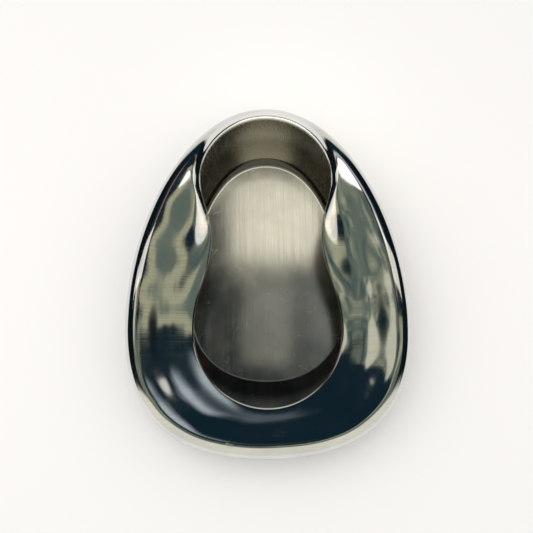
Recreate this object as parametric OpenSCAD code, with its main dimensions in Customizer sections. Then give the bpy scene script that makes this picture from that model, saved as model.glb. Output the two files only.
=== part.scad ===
// Stainless-steel bedpan: a deep-drawn bowl and a contoured seat, welded together round their widest line.
// Millimetres. +Z is up, +Y points to the narrow front, +X to the right.
// The origin is on the surface the pan stands on, under the middle of its length and width.

/* [Overall size] */
// Length over the widest line, from the rear end to the narrow front end
pan_length = 354; // [290:1:430]
// Width over the widest line
pan_width = 288; // [240:1:350]
// Distance from the rear end forward to the widest place
rear_length = 128; // [105:1:150]
// Thickness of the steel sheet
sheet = 0.9; // [0.7:0.1:1.6]

/* [Plan outline] */
// Fullness of the front tip, where 0.55 is an ellipse
tip_fullness = 0.56; // [0.5:0.01:0.7]
// Fullness of the long sides ahead of the widest place
side_fullness = 0.49; // [0.4:0.01:0.65]
// Fullness of the rear quarters at the widest place
quarter_fullness = 0.67; // [0.5:0.01:0.75]
// Fullness of the rear end
rear_fullness = 0.66; // [0.5:0.01:0.75]

/* [Weld line] */
// Height of the weld line at the rear end
seam_rear_height = 36; // [30:1:46]
// Height of the weld line at the front end
seam_front_height = 70; // [58:1:76]
// Gap between the two pressings that the weld fills
seam_gap = 1.6; // [1:0.1:3]
// Height of the ground-down weld bead over the sheet, outside
bead_crown = 0.3; // [0.1:0.1:1]
// Height of the weld root over the sheet, inside
bead_root = 0.5; // [0.1:0.1:1]

/* [Keyhole opening] */
// Distance from the pan's front end to the opening
front_margin = 20; // [18:1:26]
// Distance from the pan's rear end to the opening
rear_margin = 50; // [38:1:64]
// Widest width of the front lobe
front_lobe_width = 132; // [104:1:138]
// Distance from the opening's front end to the front lobe's widest place
front_lobe_depth = 58; // [46:1:72]
// Width of the waist
waist_width = 112; // [90:1:134]
// Distance from the front lobe's widest place to the waist
waist_setback = 52; // [40:1:62]
// Widest width of the rear lobe
rear_lobe_width = 150; // [120:1:180]

/* [Seat] */
// Height of the opening's lip at its rear end
lip_rear_height = 43; // [38:1:52]
// Height of the opening's lip at its front end
lip_front_height = 96; // [84:1:116]
// How late the lip climbs towards the front, where 1 is a straight climb
lip_sweep = 1.8; // [1:0.1:3]
// Outer radius of the turned-down lip
lip_radius = 2.5; // [2:0.1:4]
// Depth of the straight skirt under the lip
lip_skirt = 2; // [0.5:0.5:6]
// Radius of the rounded shoulder at the seat's outer edge
shoulder_radius = 13; // [9:0.5:16]
// Sag of the seat for each millimetre of its breadth
seat_dish = 0.04; // [0:0.01:0.08]

/* [Bowl] */
// Distance from the pan's front end back to the flat base
base_front_setback = 39; // [32:1:50]
// Distance from the pan's rear end forward to the flat base
base_rear_setback = 80; // [66:1:96]
// Widest width of the flat base
base_width = 160; // [130:1:192]
// Distance from the rear edge of the flat base to its widest place
base_rear_length = 77; // [60:1:95]
// Fullness of the base outline all round
base_fullness = 0.62; // [0.5:0.01:0.7]
// Outer radius between the flat base and the wall
base_fillet = 12; // [4:0.5:16]
// Outer radius between the wall and the weld line
bowl_bend = 20; // [10:0.5:24]

/* [Hidden] */

front_y = pan_length / 2;
rear_y = -pan_length / 2;
widest_y = rear_y + rear_length;

open_front_y = front_y - front_margin;
open_rear_y = rear_y + rear_margin;
front_lobe_y = open_front_y - front_lobe_depth;
waist_y = front_lobe_y - waist_setback;

base_front_y = front_y - base_front_setback;
base_rear_y = rear_y + base_rear_setback;
base_widest_y = base_rear_y + base_rear_length;

// The lobes are near circles and the S-bends between them are soft.
lobe_fullness = 0.55;
s_bend_fullness = 0.41;

// Overlap of the bowl's wall and its flat base plate, which are one pressing
plate_lap = 4;

// Steps along each stretch of an outline, from front to rear, and along each part of a section
lobe_steps = 11;
waist_steps = 4;
flank_steps = 13;
rear_steps = 14;
lip_steps = 5;
seat_steps = 6;
shoulder_steps = 6;
fillet_steps = 4;
bend_steps = 5;
table_steps = 48;

// ---- Curves ----

// Point on a cubic Bezier curve through four control points
function bezier(p, u) =
    pow(1 - u, 3) * p[0] + 3 * pow(1 - u, 2) * u * p[1]
    + 3 * (1 - u) * u * u * p[2] + pow(u, 3) * p[3];

// Control points of a curve that leaves p sideways and reaches q along the pan
function cap(p, q, side, along) =
    [p, p + [side * (q.x - p.x), 0], q + [0, along * (p.y - q.y)], q];

// The same the other way round: leaves p along the pan and reaches q sideways
function tail(p, q, along, side) =
    [p, p + [0, along * (q.y - p.y)], q + [side * (p.x - q.x), 0], q];

// Control points of an S-bend that leaves and arrives along the pan
function s_bend(p, q, along) =
    [p, p + [0, along * (q.y - p.y)], q + [0, along * (p.y - q.y)], q];

// Points along curves laid end to end, with a number of steps for each
function trace(curves, steps) = [
    for (k = [0 : len(curves) - 1])
        for (i = [(k == 0 ? 0 : 1) : steps[k]])
            bezier(curves[k], i / steps[k])
];

// Every outline is described from the point on the centre line at the widest place:
// bearing 0 faces the front, 180 the rear.
function bearing(p) = atan2(p.x, p.y - widest_y);
function reach_table(points) = [for (p = points) [bearing(p), norm([p.x, p.y - widest_y])]];
function alike(n, count) = [for (i = [1 : count]) n];

rim_curves = [
    cap([0, front_y], [pan_width / 2, widest_y], tip_fullness, side_fullness),
    tail([pan_width / 2, widest_y], [0, rear_y], quarter_fullness, rear_fullness)
];
opening_curves = [
    cap([0, open_front_y], [front_lobe_width / 2, front_lobe_y], lobe_fullness, lobe_fullness),
    s_bend([front_lobe_width / 2, front_lobe_y], [waist_width / 2, waist_y], s_bend_fullness),
    s_bend([waist_width / 2, waist_y], [rear_lobe_width / 2, widest_y], s_bend_fullness),
    tail([rear_lobe_width / 2, widest_y], [0, open_rear_y], lobe_fullness, lobe_fullness)
];
base_curves = [
    cap([0, base_front_y], [base_width / 2, base_widest_y], base_fullness, base_fullness),
    tail([base_width / 2, base_widest_y], [0, base_rear_y], base_fullness, base_fullness)
];

rim_table = reach_table(trace(rim_curves, alike(table_steps, 2)));
opening_table = reach_table(trace(opening_curves, alike(table_steps, 4)));
base_table = reach_table(trace(base_curves, alike(table_steps, 2)));

// Bearings of the sections: down the right side and back up the left
right_bearings = [
    for (p = trace(opening_curves, [lobe_steps, waist_steps, flank_steps, rear_steps])) bearing(p)
];
half_count = len(right_bearings) - 1;
bearings = [
    for (i = [0 : 2 * half_count - 1])
        i <= half_count ? right_bearings[i] : -right_bearings[2 * half_count - i]
];

// Reach of each outline on a bearing
function rim_reach(a) = lookup(abs(a), rim_table);
function opening_reach(a) = lookup(abs(a), opening_table);
function base_reach(a) = lookup(abs(a), base_table);

// Point at a reach and a height on a bearing
function at(a, p) = [p.x * sin(a), widest_y + p.x * cos(a), p.y];

// ---- Heights ----

// The weld line lies in one plane that climbs to the front.
function seam_height(y) =
    seam_rear_height + (seam_front_height - seam_rear_height) * (y - rear_y) / pan_length;

// The lip climbs slowly along the seat and fast at the front.
function lip_climb(y) = max(0, min(1, (y - open_rear_y) / (open_front_y - open_rear_y)));
function lip_height(y) =
    lip_rear_height + (lip_front_height - lip_rear_height) * pow(lip_climb(y), lip_sweep);

function seam_on(a) = seam_height(widest_y + rim_reach(a) * cos(a));
function lip_on(a) = lip_height(widest_y + opening_reach(a) * cos(a));

// ---- Sections ----
// A section is a list of [reach, height] points. An inset of 0 is the outer face, and an inset of
// one sheet thickness is the inner face, because both arcs keep their centres inside the pan.

function arc(centre, radius, from, to, steps) = [
    for (i = [0 : steps])
        let (t = from + (to - from) * i / steps)
        centre + radius * [cos(t), sin(t)]
];

// Slope of the straight line that runs over two circles of radius r1 and r2, or under them
function line_over(c1, r1, c2, r2) =
    let (d = c2 - c1) atan2(d.y, d.x) + asin((r2 - r1) / norm(d));
function line_under(c1, r1, c2, r2) =
    let (d = c2 - c1) atan2(d.y, d.x) - asin((r2 - r1) / norm(d));

// Points between p and q on a line that sags to its right, and leaves and arrives straight
function sagging(p, q, depth, steps) =
    let (run = q - p, right = [run.y, -run.x])
    [
        for (i = [1 : steps - 1])
            let (u = i / steps)
            p + u * run + depth * pow(sin(180 * u), 2) * right
    ];

// Seat: skirt, turned-down lip, dished flange, shoulder, down to the weld
function seat_section(a, inset) =
    let (
        lip_centre = [opening_reach(a) + lip_radius, lip_on(a) - lip_radius],
        shoulder_centre = [rim_reach(a) - shoulder_radius, seam_on(a) + seam_gap / 2],
        slope = line_over(lip_centre, lip_radius, shoulder_centre, shoulder_radius),
        lip = arc(lip_centre, lip_radius - inset, 180, slope + 90, lip_steps),
        shoulder = arc(shoulder_centre, shoulder_radius - inset, slope + 90, 0, shoulder_steps)
    )
    concat(
        [[lip[0].x, lip_centre.y - lip_skirt]],
        lip,
        sagging(lip[lip_steps], shoulder[0], seat_dish, seat_steps),
        shoulder
    );

// Bowl: a strip of the flat base, fillet, straight wall, bend, up to the weld
function bowl_section(a, inset) =
    let (
        fillet_centre = [base_reach(a), base_fillet],
        bend_centre = [rim_reach(a) - bowl_bend, seam_on(a) - seam_gap / 2],
        slope = line_under(fillet_centre, base_fillet, bend_centre, bowl_bend),
        fillet = arc(fillet_centre, base_fillet - inset, -90, slope - 90, fillet_steps),
        bend = arc(bend_centre, bowl_bend - inset, slope - 90, 0, bend_steps)
    )
    concat(
        [[base_reach(a) - plate_lap, inset]],
        fillet,
        [(fillet[fillet_steps] + bend[0]) / 2],
        bend
    );

// Weld: the gap between the two edges, crowned outside and rooted inside
function weld_section(a) =
    let (
        r = rim_reach(a),
        z = seam_on(a),
        half = seam_gap / 2
    )
    [
        [r - sheet, z - half],
        [r, z - half],
        [r + 0.7 * bead_crown, z - half / 2],
        [r + bead_crown, z],
        [r + 0.7 * bead_crown, z + half / 2],
        [r, z + half],
        [r - sheet, z + half],
        [r - sheet - bead_root, z]
    ];

// Closed section of a sheet: out along its lower face and back along its upper face
function both_faces(lower, upper) =
    concat(lower, [for (i = [len(upper) - 1 : -1 : 0]) upper[i]]);

// Solid swept round the pan through one closed section for each bearing
module swept_ring(sections) {
    rings = len(sections);
    sides = len(sections[0]);
    points = [for (k = [0 : rings - 1]) for (p = sections[k]) at(bearings[k], p)];
    faces = [
        for (k = [0 : rings - 1])
            for (i = [0 : sides - 1])
                let (
                    here = k * sides,
                    next = ((k + 1) % rings) * sides,
                    j = (i + 1) % sides
                )
                each [[here + i, next + i, next + j], [here + i, next + j, here + j]]
    ];
    polyhedron(points = points, faces = faces, convexity = 8);
}

// ---- Sub-parts ----

// Lower pressing, with the flat base that the pan stands on
module pan_bowl() {
    color("silver")
    union() {
        swept_ring([for (a = bearings) both_faces(bowl_section(a, 0), bowl_section(a, sheet))]);
        linear_extrude(sheet)
            polygon([
                for (a = bearings)
                    let (p = at(a, [base_reach(a) - plate_lap / 2, 0]))
                    [p.x, p.y]
            ]);
    }
}

// Upper pressing, with the keyhole opening
module seat_shell() {
    color("lightsteelblue")
    swept_ring([for (a = bearings) both_faces(seat_section(a, sheet), seat_section(a, 0))]);
}

// Weld bead that joins the two pressings
module perimeter_weld() {
    color("gray")
    swept_ring([for (a = bearings) weld_section(a)]);
}

pan_bowl();
seat_shell();
perimeter_weld();
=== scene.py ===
"""Looks of a polished stainless-steel bedpan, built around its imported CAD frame.

The two pressings and the weld are swept round the pan through sections, as the CAD is, but finely
enough for a mirror finish. Every length is in metres, in the frame's own axes: +Y to the narrow
front, +Z up.
"""
import math

import bpy
import numpy as np
from mathutils import Euler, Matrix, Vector


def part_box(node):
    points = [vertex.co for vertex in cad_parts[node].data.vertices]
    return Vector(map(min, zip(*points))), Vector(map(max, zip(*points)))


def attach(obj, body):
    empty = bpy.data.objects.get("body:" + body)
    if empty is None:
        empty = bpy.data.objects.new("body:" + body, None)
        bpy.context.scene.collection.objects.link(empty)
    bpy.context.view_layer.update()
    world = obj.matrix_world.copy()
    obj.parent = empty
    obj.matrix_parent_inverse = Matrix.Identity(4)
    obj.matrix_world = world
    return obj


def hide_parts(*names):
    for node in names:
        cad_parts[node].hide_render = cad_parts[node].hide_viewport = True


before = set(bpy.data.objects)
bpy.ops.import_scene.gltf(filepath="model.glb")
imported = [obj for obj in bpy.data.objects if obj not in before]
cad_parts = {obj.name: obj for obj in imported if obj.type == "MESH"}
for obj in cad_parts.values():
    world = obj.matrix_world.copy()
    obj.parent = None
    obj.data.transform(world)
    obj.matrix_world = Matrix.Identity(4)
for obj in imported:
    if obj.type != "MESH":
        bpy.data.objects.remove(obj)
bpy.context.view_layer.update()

MM = 0.001

# ---- Sizes that the sections share with the CAD ----

shell_low, shell_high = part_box("seat_shell")
FRONT_Y = shell_high.y
REAR_Y = shell_low.y
HALF_WIDTH = shell_high.x
LENGTH = FRONT_Y - REAR_Y
WIDEST_Y = REAR_Y + 128 * MM
SHEET = 0.9 * MM

# The weld line's heights, the gap between the pressings, and how far the bead stands out and in.
SEAM_REAR, SEAM_FRONT = 36 * MM, 70 * MM
SEAM_GAP = 1.6 * MM
BEAD_CROWN, BEAD_ROOT = 0.3 * MM, 0.5 * MM

# The opening's ends, and the widest point of each lobe and the narrowest of the waist.
OPEN_FRONT_Y = FRONT_Y - 20 * MM
OPEN_REAR_Y = REAR_Y + 50 * MM
FRONT_LOBE = (66 * MM, OPEN_FRONT_Y - 58 * MM)
WAIST = (56 * MM, FRONT_LOBE[1] - 52 * MM)
REAR_LOBE = (75 * MM, WIDEST_Y)

# The lip's heights, how fast it climbs, its bend, and the seat outside it. The dish is a share of
# the flange's width.
LIP_REAR, LIP_FRONT = 43 * MM, 96 * MM
LIP_SWEEP = 1.8
LIP_RADIUS, LIP_SKIRT = 2.5 * MM, 2 * MM
SHOULDER_RADIUS = 13 * MM
SEAT_DISH = 0.04

# The flat base, and the bends below and above the bowl's wall.
BASE_FRONT_Y = FRONT_Y - 39 * MM
BASE_REAR_Y = REAR_Y + 80 * MM
BASE_SIDE = (80 * MM, BASE_REAR_Y + 77 * MM)
BASE_FILLET, BOWL_BEND = 12 * MM, 20 * MM

# ---- How finely the meshes follow the shape ----

OPENING_STEPS = (56, 20, 56, 72)
LIP_STEPS, FLANGE_STEPS, SHOULDER_STEPS = 14, 26, 26
FLOOR_STEPS, FILLET_STEPS, WALL_STEPS, BEND_STEPS = 17, 12, 14, 18
BEAD_POINTS = 9

# Samples on each curve of an outline, when its reach is looked up by bearing.
REACH_SAMPLES = 1500

# The floor's innermost ring, as a share of the base's reach. A fan of triangles fills it.
HUB = 0.06

# ---- Marks in the steel ----

DING = (-39.5 * MM, REAR_Y + 13.5 * MM, 0)
FLOOR_SCRATCH = (-22.5 * MM, WIDEST_Y + 12 * MM, 0)

# ---- Colours ----

# Painted shade: a near-black mixed into the bowl's corner round the floor.
CORNER_SHADE = (0.03, 0.03, 0.028)
# Painted sheen: a pale colour mixed into a band of the bowl's wall.
WALL_SHEEN = (0.86, 0.84, 0.74)
FLOOR_PAINT = (0.93, 0.93, 0.925)

# The room that the steel reflects, and the wall that the camera sees.
DARK = (0.007, 0.020, 0.030)
BLACK = (0.004, 0.009, 0.012)
DIM = (0.14, 0.175, 0.145)
TEAL = (0.035, 0.075, 0.085)
BEIGE = (0.45, 0.44, 0.30)
BRIGHT = (0.66, 0.64, 0.50)
HAZE = (0.46, 0.52, 0.56)
WHITE = (0.84, 0.81, 0.70)
WALL = (0.88, 0.865, 0.85)

# The light of the lamps.
DAYLIGHT = (1.0, 0.985, 0.96)
WARM = (1.0, 0.97, 0.88)
RUST = (1.0, 0.45, 0.30)

# ---- Outlines ----


def bezier(p, u):
    """Points at u on a cubic Bezier curve through four control points."""
    p = np.asarray(p, float)
    u = np.asarray(u, float)[:, None]
    return (1 - u) ** 3 * p[0] + 3 * (1 - u) ** 2 * u * p[1] + 3 * (1 - u) * u**2 * p[2] + u**3 * p[3]


# A curve's fullness is how much of the way it runs on in its end's own direction, as shares of
# the distance sideways and the distance along the pan.


def cap(p, q, side, along):
    """A curve that leaves p sideways and reaches q along the pan."""
    return [p, (p[0] + side * (q[0] - p[0]), p[1]), (q[0], q[1] + along * (p[1] - q[1])), q]


def tail(p, q, along, side):
    """A curve that leaves p along the pan and reaches q sideways."""
    return [p, (p[0], p[1] + along * (q[1] - p[1])), (q[0] + side * (p[0] - q[0]), q[1]), q]


def s_bend(p, q, along):
    """A curve that leaves p and reaches q along the pan."""
    return [p, (p[0], p[1] + along * (q[1] - p[1])), (q[0], q[1] + along * (p[1] - q[1])), q]


def trace(curves, steps):
    """Points along curves laid end to end, with a number of steps for each."""
    parts = [bezier(c, np.linspace(0, 1, n + 1)[(k > 0):]) for k, (c, n) in enumerate(zip(curves, steps))]
    return np.vstack(parts)


def bearing(points):
    """Angle from the front, seen from the middle of the widest line."""
    return np.arctan2(points[:, 0], points[:, 1] - WIDEST_Y)


def reach_of(curves):
    """The outline's distance from the middle of the widest line, as a function of the bearing."""
    points = trace(curves, [REACH_SAMPLES] * len(curves))
    angles = bearing(points)
    reaches = np.hypot(points[:, 0], points[:, 1] - WIDEST_Y)
    return lambda a: np.interp(np.abs(a), angles, reaches)


rim_side = (HALF_WIDTH, WIDEST_Y)
rim = [
    cap((0, FRONT_Y), rim_side, side=0.56, along=0.49),
    tail(rim_side, (0, REAR_Y), along=0.67, side=0.66),
]
opening = [
    cap((0, OPEN_FRONT_Y), FRONT_LOBE, side=0.55, along=0.55),
    s_bend(FRONT_LOBE, WAIST, along=0.41),
    s_bend(WAIST, REAR_LOBE, along=0.41),
    tail(REAR_LOBE, (0, OPEN_REAR_Y), along=0.55, side=0.55),
]
base = [
    cap((0, BASE_FRONT_Y), BASE_SIDE, side=0.62, along=0.62),
    tail(BASE_SIDE, (0, BASE_REAR_Y), along=0.62, side=0.62),
]
rim_reach = reach_of(rim)
opening_reach = reach_of(opening)
base_reach = reach_of(base)

# Every bearing that a section stands on: the right side's, and then the left side's as a mirror image.
right_side = bearing(trace(opening, OPENING_STEPS))
BEARINGS = np.concatenate([right_side, -right_side[-2:0:-1]])

# ---- Heights and sections ----


def seam_height(a):
    """Height of the weld line, which lies in one sloping plane."""
    y = WIDEST_Y + rim_reach(a) * np.cos(a)
    return SEAM_REAR + (SEAM_FRONT - SEAM_REAR) * (y - REAR_Y) / LENGTH


def lip_height(a):
    """Height of the opening's lip, which climbs slowly and then fast towards the front."""
    y = WIDEST_Y + opening_reach(a) * np.cos(a)
    climb = np.clip((y - OPEN_REAR_Y) / (OPEN_FRONT_Y - OPEN_REAR_Y), 0, 1)
    return LIP_REAR + (LIP_FRONT - LIP_REAR) * climb**LIP_SWEEP


def arc(centre, radius, start, end, steps):
    """Points (reach, height) along an arc from one angle to another."""
    t = start + (end - start) * np.linspace(0, 1, steps + 1)
    return np.stack([centre[0] + radius * np.cos(t), centre[1] + radius * np.sin(t)], -1)


def common_slope(c1, r1, c2, r2, side):
    """Slope of the line that touches two circles, over them (side 1) or under them (side -1)."""
    dx, dz = c2[0] - c1[0], c2[1] - c1[1]
    return np.arctan2(dz, dx) + side * np.arcsin((r2 - r1) / np.hypot(dx, dz))


def sagging(p, q, depth, steps):
    """Points between p and q, on a line that sags to its right by a share of its length."""
    run = q - p
    to_right = np.array([run[1], -run[0]])
    u = np.linspace(0, 1, steps + 1)[1:-1, None]
    return p + u * run + depth * np.sin(math.pi * u) ** 2 * to_right


def seat_section(a, inset):
    """Skirt, turned-down lip, dished flange and shoulder on one bearing, at a depth in the sheet."""
    lip_centre = (opening_reach(a) + LIP_RADIUS, lip_height(a) - LIP_RADIUS)
    shoulder_centre = (rim_reach(a) - SHOULDER_RADIUS, seam_height(a) + SEAM_GAP / 2)
    slope = common_slope(lip_centre, LIP_RADIUS, shoulder_centre, SHOULDER_RADIUS, 1)
    lip = arc(lip_centre, LIP_RADIUS - inset, math.pi, slope + math.pi / 2, LIP_STEPS)
    shoulder = arc(shoulder_centre, SHOULDER_RADIUS - inset, slope + math.pi / 2, 0, SHOULDER_STEPS)
    flange = sagging(lip[-1], shoulder[0], SEAT_DISH, FLANGE_STEPS)
    foot = [[lip[0, 0], lip_centre[1] - LIP_SKIRT]]
    return np.vstack([foot, lip, flange, shoulder])


def bowl_section(a, inset):
    """Flat base from its middle, fillet, wall and bend on one bearing, at a depth in the sheet."""
    fillet_centre = (base_reach(a), BASE_FILLET)
    bend_centre = (rim_reach(a) - BOWL_BEND, seam_height(a) - SEAM_GAP / 2)
    slope = common_slope(fillet_centre, BASE_FILLET, bend_centre, BOWL_BEND, -1)
    reaches = base_reach(a) * np.linspace(HUB, 1, FLOOR_STEPS + 1)[:-1]
    floor = np.stack([reaches, np.full(FLOOR_STEPS, inset)], -1)
    fillet = arc(fillet_centre, BASE_FILLET - inset, -math.pi / 2, slope - math.pi / 2, FILLET_STEPS)
    bend = arc(bend_centre, BOWL_BEND - inset, slope - math.pi / 2, 0, BEND_STEPS)
    wall = sagging(fillet[-1], bend[0], 0, WALL_STEPS)
    return np.vstack([floor, fillet, wall, bend])


def weld_section(a):
    """The gap between the two edges, crowned outside and rooted inside."""
    reach, height, half = float(rim_reach(a)), float(seam_height(a)), SEAM_GAP / 2
    t = np.linspace(-1, 1, BEAD_POINTS)
    crown = np.stack([reach + BEAD_CROWN * (1 - t**2), height + half * t], -1)
    root = np.stack([reach - SHEET - BEAD_ROOT * (1 - t**2), height - half * t], -1)
    return np.vstack([crown, root])


# ---- Meshes ----


def in_place(section, a):
    """Section points (reach, height) on a bearing, as points in the frame."""
    reach, height = section[:, 0], section[:, 1]
    return np.stack([reach * math.sin(a), WIDEST_Y + reach * math.cos(a), height], -1)


def pressing(section, lower, upper):
    """Closed section on every bearing, out along the sheet's lower face and back along its upper face."""
    return [in_place(np.vstack([section(a, lower), section(a, upper)[::-1]]), a) for a in BEARINGS]


def undulation(points):
    """Slow, shallow waves that hand polishing leaves in the sheet, in metres."""
    x, y = points[:, 0] / MM, points[:, 1] / MM
    # For each wave: depth in mm, radians per mm across and along the pan, and phase.
    waves = (
        (0.110, 0.034, 0.121, 0.3),
        (0.060, -0.092, 0.155, 1.9),
        (0.026, 0.132, 0.118, 4.1),
        (0.016, 0.071, -0.231, 2.6),
    )
    return MM * sum(depth * np.sin(fx * x + fy * y + phase) for depth, fx, fy, phase in waves)


def ring_faces(rings, sides, closed):
    """Quads between neighbouring rings of points. closed joins each ring's last point to its first."""
    faces = []
    for k in range(rings):
        here, there = k * sides, (k + 1) % rings * sides
        for i in range(sides if closed else sides - 1):
            j = (i + 1) % sides
            faces.append((here + i, here + j, there + j, there + i))
    return faces


def make_piece(name, points, faces, node, materials, face_materials=None):
    """A smooth mesh that stands for a CAD node and rides on the root body."""
    mesh = bpy.data.meshes.new(name)
    mesh.from_pydata([tuple(p) for p in points], [], faces)
    mesh.polygons.foreach_set("use_smooth", [True] * len(mesh.polygons))
    for material in materials:
        mesh.materials.append(material)
    if face_materials is not None:
        mesh.polygons.foreach_set("material_index", face_materials)
    mesh.validate()
    mesh.update()
    piece = bpy.data.objects.new(name, mesh)
    bpy.context.scene.collection.objects.link(piece)
    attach(piece, "root")
    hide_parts(node)


def build_seat(material):
    """The upper pressing, with polishing waves that fade out towards the edge of the lip's skirt."""
    sections = pressing(seat_section, lower=SHEET, upper=0)
    rings, sides = len(sections), len(sections[0])
    points = np.vstack(sections)
    strength = np.sin(math.pi * np.linspace(0, 1, sides)) ** 0.5
    points[:, 2] += undulation(points) * np.tile(strength, rings)
    faces = ring_faces(rings, sides, closed=True)
    make_piece("seat_polished", points, faces, "seat_shell", [material])


def build_bowl(outside, inside):
    """The lower pressing, with a material on each face of its sheet."""
    sections = pressing(bowl_section, lower=0, upper=SHEET)
    rings, sides = len(sections), len(sections[0])
    faces = ring_faces(rings, sides, closed=False)
    face_materials = [int(i >= sides // 2) for i in range(sides - 1)] * rings
    middle = rings * sides
    points = np.vstack([*sections, (0, WIDEST_Y, 0), (0, WIDEST_Y, SHEET)])
    for k in range(rings):
        here, there = k * sides, (k + 1) % rings * sides
        faces.append((middle, here, there))
        faces.append((middle + 1, there + sides - 1, here + sides - 1))
        face_materials += [0, 1]
    make_piece("bowl_drawn", points, faces, "pan_bowl", [outside, inside], face_materials)


def build_weld(material):
    """The bead between the two pressings."""
    sections = [in_place(weld_section(a), a) for a in BEARINGS]
    faces = ring_faces(len(sections), len(sections[0]), closed=True)
    make_piece("weld_bead", np.vstack(sections), faces, "perimeter_weld", [material])


# ---- Materials ----


class Graph:
    """Short ways to add nodes to a material's or the world's node tree."""

    def __init__(self, owner):
        owner.use_nodes = True
        self.tree = owner.node_tree
        self.tree.nodes.clear()

    def add(self, kind, inputs=None, **settings):
        """A new node, with its settings and its inputs given by name or number."""
        node = self.tree.nodes.new(kind)
        for key, value in settings.items():
            setattr(node, key, value)
        for key, value in (inputs or {}).items():
            self.put(node.inputs[key], value)
        return node

    def put(self, socket, value):
        """Links another node's output to a socket, or sets the socket to a plain value."""
        if isinstance(value, bpy.types.NodeSocket):
            self.tree.links.new(value, socket)
        else:
            socket.default_value = value

    def math(self, operation, a, b=0.0):
        """One number worked out from two, or from the first alone."""
        return self.add("ShaderNodeMath", {0: a, 1: b}, operation=operation).outputs[0]

    def vector_math(self, operation, a, b):
        """The outputs of a node that works on two vectors."""
        return self.add("ShaderNodeVectorMath", {0: a, 1: b}, operation=operation).outputs

    def ramp(self, value, low, high, out_low=0.0, out_high=1.0):
        """Value taken smoothly from low..high to out_low..out_high, and held there."""
        limits = {"From Min": low, "From Max": high, "To Min": out_low, "To Max": out_high}
        node = self.add("ShaderNodeMapRange", interpolation_type="SMOOTHSTEP")
        for key, limit in {"Value": value, **limits}.items():
            self.put(node.inputs[key], limit)
        return node.outputs["Result"]

    def band(self, value, rise, fall):
        """1 between the range where it rises and the range where it falls, and 0 outside them."""
        return self.math("MULTIPLY", self.ramp(value, *rise), self.ramp(value, *fall, 1.0, 0.0))

    def mix(self, factor, a, b):
        """Colour a where the factor is 0, and colour b where it is 1."""
        return self.add("ShaderNodeMix", {0: factor, 6: a, 7: b}, data_type="RGBA").outputs[2]

    def place(self):
        """Coordinates on the object, in metres."""
        return self.add("ShaderNodeTexCoord").outputs["Object"]

    def stretched_noise(self, scale, detail, roughness=0.5):
        """Noise on the object, with its own scale on each axis."""
        mapped = self.add("ShaderNodeMapping", {"Vector": self.place(), "Scale": scale}).outputs[0]
        inputs = {"Vector": mapped, "Scale": 1.0, "Detail": detail, "Roughness": roughness}
        return self.add("ShaderNodeTexNoise", inputs).outputs["Fac"]

    def scratches(self, angle, spacing, length):
        """Thin sparse lines at an angle: 1 on a scratch, 0 elsewhere."""
        hairline = 0.010
        turn, stretch = (0, 0, angle), (1 / length, 1 / spacing, 0)
        turned = self.add("ShaderNodeMapping", {"Vector": self.place(), "Rotation": turn}).outputs[0]
        scaled = self.add("ShaderNodeMapping", {"Vector": turned, "Scale": stretch}).outputs[0]
        cells = self.add("ShaderNodeTexVoronoi", feature="DISTANCE_TO_EDGE", voronoi_dimensions="2D")
        self.put(cells.inputs["Vector"], scaled)
        self.put(cells.inputs["Scale"], 1.0)
        return self.ramp(cells.outputs["Distance"], 0.0, hairline, 1.0, 0.0)


def opaque(colour, shade=1.0):
    """A colour with full alpha, darkened by a shade below 1."""
    return (*[c * shade for c in colour], 1.0)


def scattered_scratches(g):
    """Two crossing sets of hairline scratches, in scattered places."""
    crossing = g.math("MAXIMUM", g.scratches(0.5, 6 * MM, 50 * MM), g.scratches(-1.0, 8 * MM, 40 * MM))
    places = g.ramp(g.stretched_noise((75, 75, 75), 1.0), 0.60, 0.68)
    return g.math("MULTIPLY", crossing, places)


def steel(name, tint, dark_tint, roughness, brush_scale, brush_height, extra=None):
    """Stainless steel with brush lines, cloudy variation in tint and roughness, and fine scratches."""
    material = bpy.data.materials.new(name)
    g = Graph(material)
    lines = g.stretched_noise(brush_scale, 3.0, 0.6)
    clouds = g.stretched_noise((26, 26, 26), 3.0)
    scratch = scattered_scratches(g)
    # The clouds lead from one tint to the other, and brush lines mix in up to a quarter of a darker one.
    base = g.mix(g.ramp(clouds, 0.3, 0.75), opaque(dark_tint), opaque(tint))
    base = g.mix(g.ramp(lines, 0.2, 0.8, 0.0, 0.25), base, opaque(dark_tint, shade=0.7))
    # The clouds lead through the range of roughness, and lines and scratches add to it.
    rough = g.math("ADD", g.ramp(clouds, 0.35, 0.7, *roughness), g.ramp(lines, 0.3, 0.7, 0.0, 0.05))
    rough = g.math("ADD", rough, g.math("MULTIPLY", scratch, 0.12))
    height = g.math("ADD", lines, g.math("MULTIPLY", scratch, -0.6))
    if extra is not None:
        base, rough, height = extra(g, base, rough, height)
    bump = g.add("ShaderNodeBump", {"Strength": brush_height, "Distance": 0.1 * MM, "Height": height})
    shader = g.add(
        "ShaderNodeBsdfPrincipled",
        {"Base Color": base, "Metallic": 1.0, "Roughness": rough, "Normal": bump.outputs[0]},
    )
    g.add("ShaderNodeOutputMaterial", {"Surface": shader.outputs[0]})
    return material


def rear_ding(g, base, rough, height):
    """A small dent on the crest of the rear shoulder, left of the middle."""
    flat = g.vector_math("MULTIPLY", g.place(), (1, 1, 0))[0]
    away = g.vector_math("DISTANCE", flat, DING)["Value"]
    dent = g.ramp(away, 1.5 * MM, 4.8 * MM, 1.0, 0.0)
    height = g.math("ADD", height, g.math("MULTIPLY", dent, -22.0))
    return base, g.math("ADD", rough, g.math("MULTIPLY", dent, 0.12)), height


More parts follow.
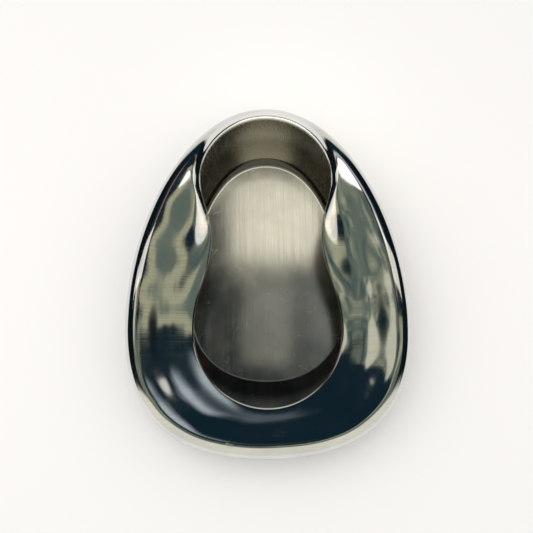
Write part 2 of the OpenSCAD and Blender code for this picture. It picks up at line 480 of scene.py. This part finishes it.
def floor_scratch(g, place):
    """1 on one short scratch in the floor, left of the middle."""
    moved = g.vector_math("SUBTRACT", place, FLOOR_SCRATCH)[0]
    turned = g.add("ShaderNodeMapping", {"Vector": moved, "Rotation": (0, 0, 0.2)}).outputs[0]
    across, along, up = g.add("ShaderNodeSeparateXYZ", {0: turned}).outputs
    thin = g.ramp(g.math("ABSOLUTE", across), 0.1 * MM, 0.7 * MM, 1.0, 0.0)
    short = g.ramp(g.math("ABSOLUTE", along), 2 * MM, 5 * MM, 1.0, 0.0)
    low = g.ramp(up, 1.5 * MM, 2 * MM, 1.0, 0.0)
    return g.math("MULTIPLY", g.math("MULTIPLY", thin, short), low)


def shaded_corner_and_wall_sheen(g, base, rough, height):
    """Painted shade in the corner round the floor, a painted sheen as a paler band on the wall, and a
    scratch.
    """
    place = g.place()
    level = g.add("ShaderNodeSeparateXYZ", {0: place}).outputs[2]
    # Painted shade: the corner round the floor is mixed most of the way to near-black.
    corner = g.band(level, (0.93 * MM, 1.12 * MM), (4 * MM, 7.5 * MM))
    base = g.mix(g.math("MULTIPLY", corner, 0.88), base, opaque(CORNER_SHADE))
    # Painted sheen: a band of the wall from 28 to 56 mm up is mixed partly to a pale colour.
    wall = g.band(level, (28 * MM, 40 * MM), (40 * MM, 56 * MM))
    base = g.mix(g.math("MULTIPLY", wall, 0.55), base, opaque(WALL_SHEEN))
    height = g.math("ADD", height, g.math("MULTIPLY", floor_scratch(g, place), 3.0))
    return base, g.math("ADD", rough, g.ramp(level, 4 * MM, 30 * MM, 0.0, 0.05)), height


def seat_steel():
    """Mirror polish with faint crosswise lines."""
    return steel(
        "seat_steel",
        tint=(0.80, 0.80, 0.78),
        dark_tint=(0.70, 0.72, 0.72),
        roughness=(0.03, 0.07),
        brush_scale=(5, 1600, 5),
        brush_height=0.08,
        extra=rear_ding,
    )


def bowl_outside_steel():
    """Buffed finish on the underside, with lines along the pan."""
    return steel(
        "bowl_outside_steel",
        tint=(0.74, 0.74, 0.72),
        dark_tint=(0.64, 0.65, 0.65),
        roughness=(0.14, 0.22),
        brush_scale=(700, 14, 60),
        brush_height=0.16,
    )


def bowl_inside_steel():
    """Satin finish inside, warmer, with lines along the pan."""
    return steel(
        "bowl_inside_steel",
        tint=(0.56, 0.54, 0.46),
        dark_tint=(0.44, 0.425, 0.36),
        roughness=(0.17, 0.22),
        brush_scale=(620, 7, 60),
        brush_height=0.20,
        extra=shaded_corner_and_wall_sheen,
    )


def weld_steel():
    """Ground and buffed weld, with lines along the bead."""
    return steel(
        "weld_steel",
        tint=(0.66, 0.65, 0.62),
        dark_tint=(0.52, 0.51, 0.49),
        roughness=(0.22, 0.34),
        brush_scale=(160, 160, 900),
        brush_height=0.3,
    )


# ---- Stage, light and camera ----


def stage_floor():
    """A plain pale floor, so wide that its edge shows only as a horizon."""
    half = 40.0
    corners = [(-half, -half, 0), (half, -half, 0), (half, half, 0), (-half, half, 0)]
    mesh = bpy.data.meshes.new("floor")
    mesh.from_pydata(corners, [], [(0, 1, 2, 3)])
    floor = bpy.data.objects.new("floor", mesh)
    bpy.context.scene.collection.objects.link(floor)
    material = bpy.data.materials.new("floor_paint")
    g = Graph(material)
    shader = g.add("ShaderNodeBsdfPrincipled", {"Base Color": opaque(FLOOR_PAINT), "Roughness": 0.8})
    g.add("ShaderNodeOutputMaterial", {"Surface": shader.outputs[0]})
    mesh.materials.append(material)


def patch(g, x, y, centre, size, soft):
    """1 inside an oval patch of sky, given by the x and y of its directions, and 0 well outside it."""
    dx = g.math("MULTIPLY", g.math("SUBTRACT", x, centre[0]), 1 / size[0])
    dy = g.math("MULTIPLY", g.math("SUBTRACT", y, centre[1]), 1 / size[1])
    away = g.math("SQRT", g.math("ADD", g.math("MULTIPLY", dx, dx), g.math("MULTIPLY", dy, dy)))
    return g.ramp(away, 1 - soft, 1 + soft, 1.0, 0.0)


def slanted(g, x, y, slope):
    """y with a share of x added, so that the edge of a zone runs at a slant."""
    return g.math("ADD", y, g.math("MULTIPLY", x, slope))


def marbling(g, vector, scale, low, high):
    """Crisp-edged streaks, as sheet steel draws out what it reflects."""
    mapped = g.add("ShaderNodeMapping", {"Vector": vector, "Scale": scale}).outputs[0]
    inputs = {"Vector": mapped, "Scale": 1.0, "Detail": 1.0, "Distortion": 1.2}
    return g.ramp(g.add("ShaderNodeTexNoise", inputs).outputs["Fac"], low, high)


def rippled_direction(g):
    """The direction in the sky, bent a little so that the edges of its zones waver."""
    direction = g.add("ShaderNodeTexCoord").outputs["Generated"]
    ripple = g.add("ShaderNodeTexNoise", {"Vector": direction, "Scale": 7.0, "Detail": 2.0})
    centred = g.vector_math("SUBTRACT", ripple.outputs["Color"], (0.5, 0.5, 0.5))[0]
    shift = g.vector_math("MULTIPLY", centred, (0.15, 0.05, 0.15))[0]
    return g.vector_math("ADD", direction, shift)[0]


def left_sky(g, direction, x, y):
    """Dark towards the front, then dim with beige and teal streaks, and one bright oval at the side."""
    edge = slanted(g, x, y, 0.35)
    beige = marbling(g, direction, scale=(3.5, 30, 6), low=0.53, high=0.56)
    teal = marbling(g, direction, scale=(5, 36, 9), low=0.55, high=0.58)
    streaked = g.mix(teal, g.mix(beige, opaque(DIM), opaque(BEIGE)), opaque(TEAL))
    sky = g.mix(g.ramp(edge, -0.085, -0.10), opaque(DARK), streaked)
    oval = patch(g, x, y, centre=(-0.42, -0.02), size=(0.12, 0.09), soft=0.1)
    return g.mix(oval, sky, opaque(BRIGHT))


def right_sky(g, x, y):
    """Dark towards the front, then a beige strip, then dim."""
    edge = slanted(g, x, y, -0.08)
    sky = g.mix(g.ramp(edge, -0.092, -0.104), opaque(DARK), opaque(BEIGE))
    return g.mix(g.ramp(edge, -0.163, -0.172), sky, opaque(DIM))


def studio_world():
    """A pale wall for the camera and the stage, and a room with dark and light zones for the steel."""
    world = bpy.data.worlds.new("studio")
    bpy.context.scene.world = world
    g = Graph(world)
    direction = rippled_direction(g)
    x, y = g.add("ShaderNodeSeparateXYZ", {0: direction}).outputs[:2]
    room = g.mix(g.ramp(x, -0.03, 0.03), left_sky(g, direction, x, y), right_sky(g, x, y))
    haze = patch(g, x, y, centre=(0.21, 0.18), size=(0.15, 0.12), soft=0.6)
    room = g.mix(haze, room, opaque(HAZE))
    room = g.mix(g.ramp(g.math("ABSOLUTE", x), 0.54, 0.60), room, opaque(BLACK))
    room = g.mix(g.ramp(y, -0.30, -0.42), room, opaque(WHITE))
    room = g.mix(g.ramp(y, 0.64, 0.76), room, opaque(WHITE))
    path = g.add("ShaderNodeLightPath").outputs
    plain = g.math("MAXIMUM", path["Is Camera Ray"], path["Is Diffuse Ray"])
    colour = g.mix(plain, room, opaque(WALL))
    back = g.add("ShaderNodeBackground", {"Color": colour, "Strength": 1.0})
    g.add("ShaderNodeOutputWorld", {"Surface": back.outputs[0]})


def soft_box(name, place, size, power, tint, target=None, spread=180, glossy=True):
    """A lamp that the camera doesn't see, aimed at a target or straight down. spread is in degrees."""
    data = bpy.data.lights.new(name, "AREA")
    data.shape = "RECTANGLE"
    data.size, data.size_y = size
    data.energy = power
    data.color = tint
    data.spread = math.radians(spread)
    lamp = bpy.data.objects.new(name, data)
    bpy.context.scene.collection.objects.link(lamp)
    facing = Vector(target or (place[0], place[1], 0)) - Vector(place)
    lamp.location = place
    lamp.rotation_mode = "QUATERNION"
    lamp.rotation_quaternion = facing.to_track_quat("-Z", "Y")
    lamp.visible_camera = False
    lamp.visible_glossy = glossy


def lights():
    """A faint overhead light for the shadow, and small soft boxes close by that the steel reflects."""
    over_front = (18 * MM, FRONT_Y - 35 * MM, 0.22)
    over_floor = (0, WIDEST_Y + 44 * MM, 0.13)
    origin = (0, 0, 0)
    soft_box("overhead", (-0.8, 0.6, 2.2), (2.2, 2.2), 12, DAYLIGHT, target=origin, glossy=False)
    soft_box("over_front", over_front, (0.135, 0.125), 0.024, WARM, spread=90)
    soft_box("over_floor", over_floor, (0.06, 0.13), 0.0009, WARM, spread=60)
    for side in (-1, 1):
        beside, above = (side * 0.285, 0.04, 0.40), (side * 0.175, 0.08, 0.40)
        shoulder = (side * 0.13, 0.04, 0.05)
        soft_box("side_strip", beside, (0.09, 0.34), 0.08, WARM, target=shoulder)
        soft_box("rust_strip", above, (0.06, 0.24), 0.014, RUST)


def camera():
    """Looks down on the pan from a little behind it."""
    elevation, distance, roll = math.radians(78), 0.80, math.radians(0.85)
    target = Vector((-0.0029, 0.0145, 0.053))
    back = Vector((0, -math.cos(elevation), math.sin(elevation)))
    data = bpy.data.cameras.new("camera")
    data.lens, data.sensor_width = 53.0, 36.0
    cam = bpy.data.objects.new("camera", data)
    bpy.context.scene.collection.objects.link(cam)
    cam.location = target + back * distance
    cam.rotation_euler = Euler((math.pi / 2 - elevation, 0, -roll), "XYZ")
    bpy.context.scene.camera = cam


bpy.context.scene.view_settings.view_transform = "Standard"
stage_floor()
studio_world()
lights()
camera()
build_seat(seat_steel())
build_bowl(bowl_outside_steel(), bowl_inside_steel())
build_weld(weld_steel())
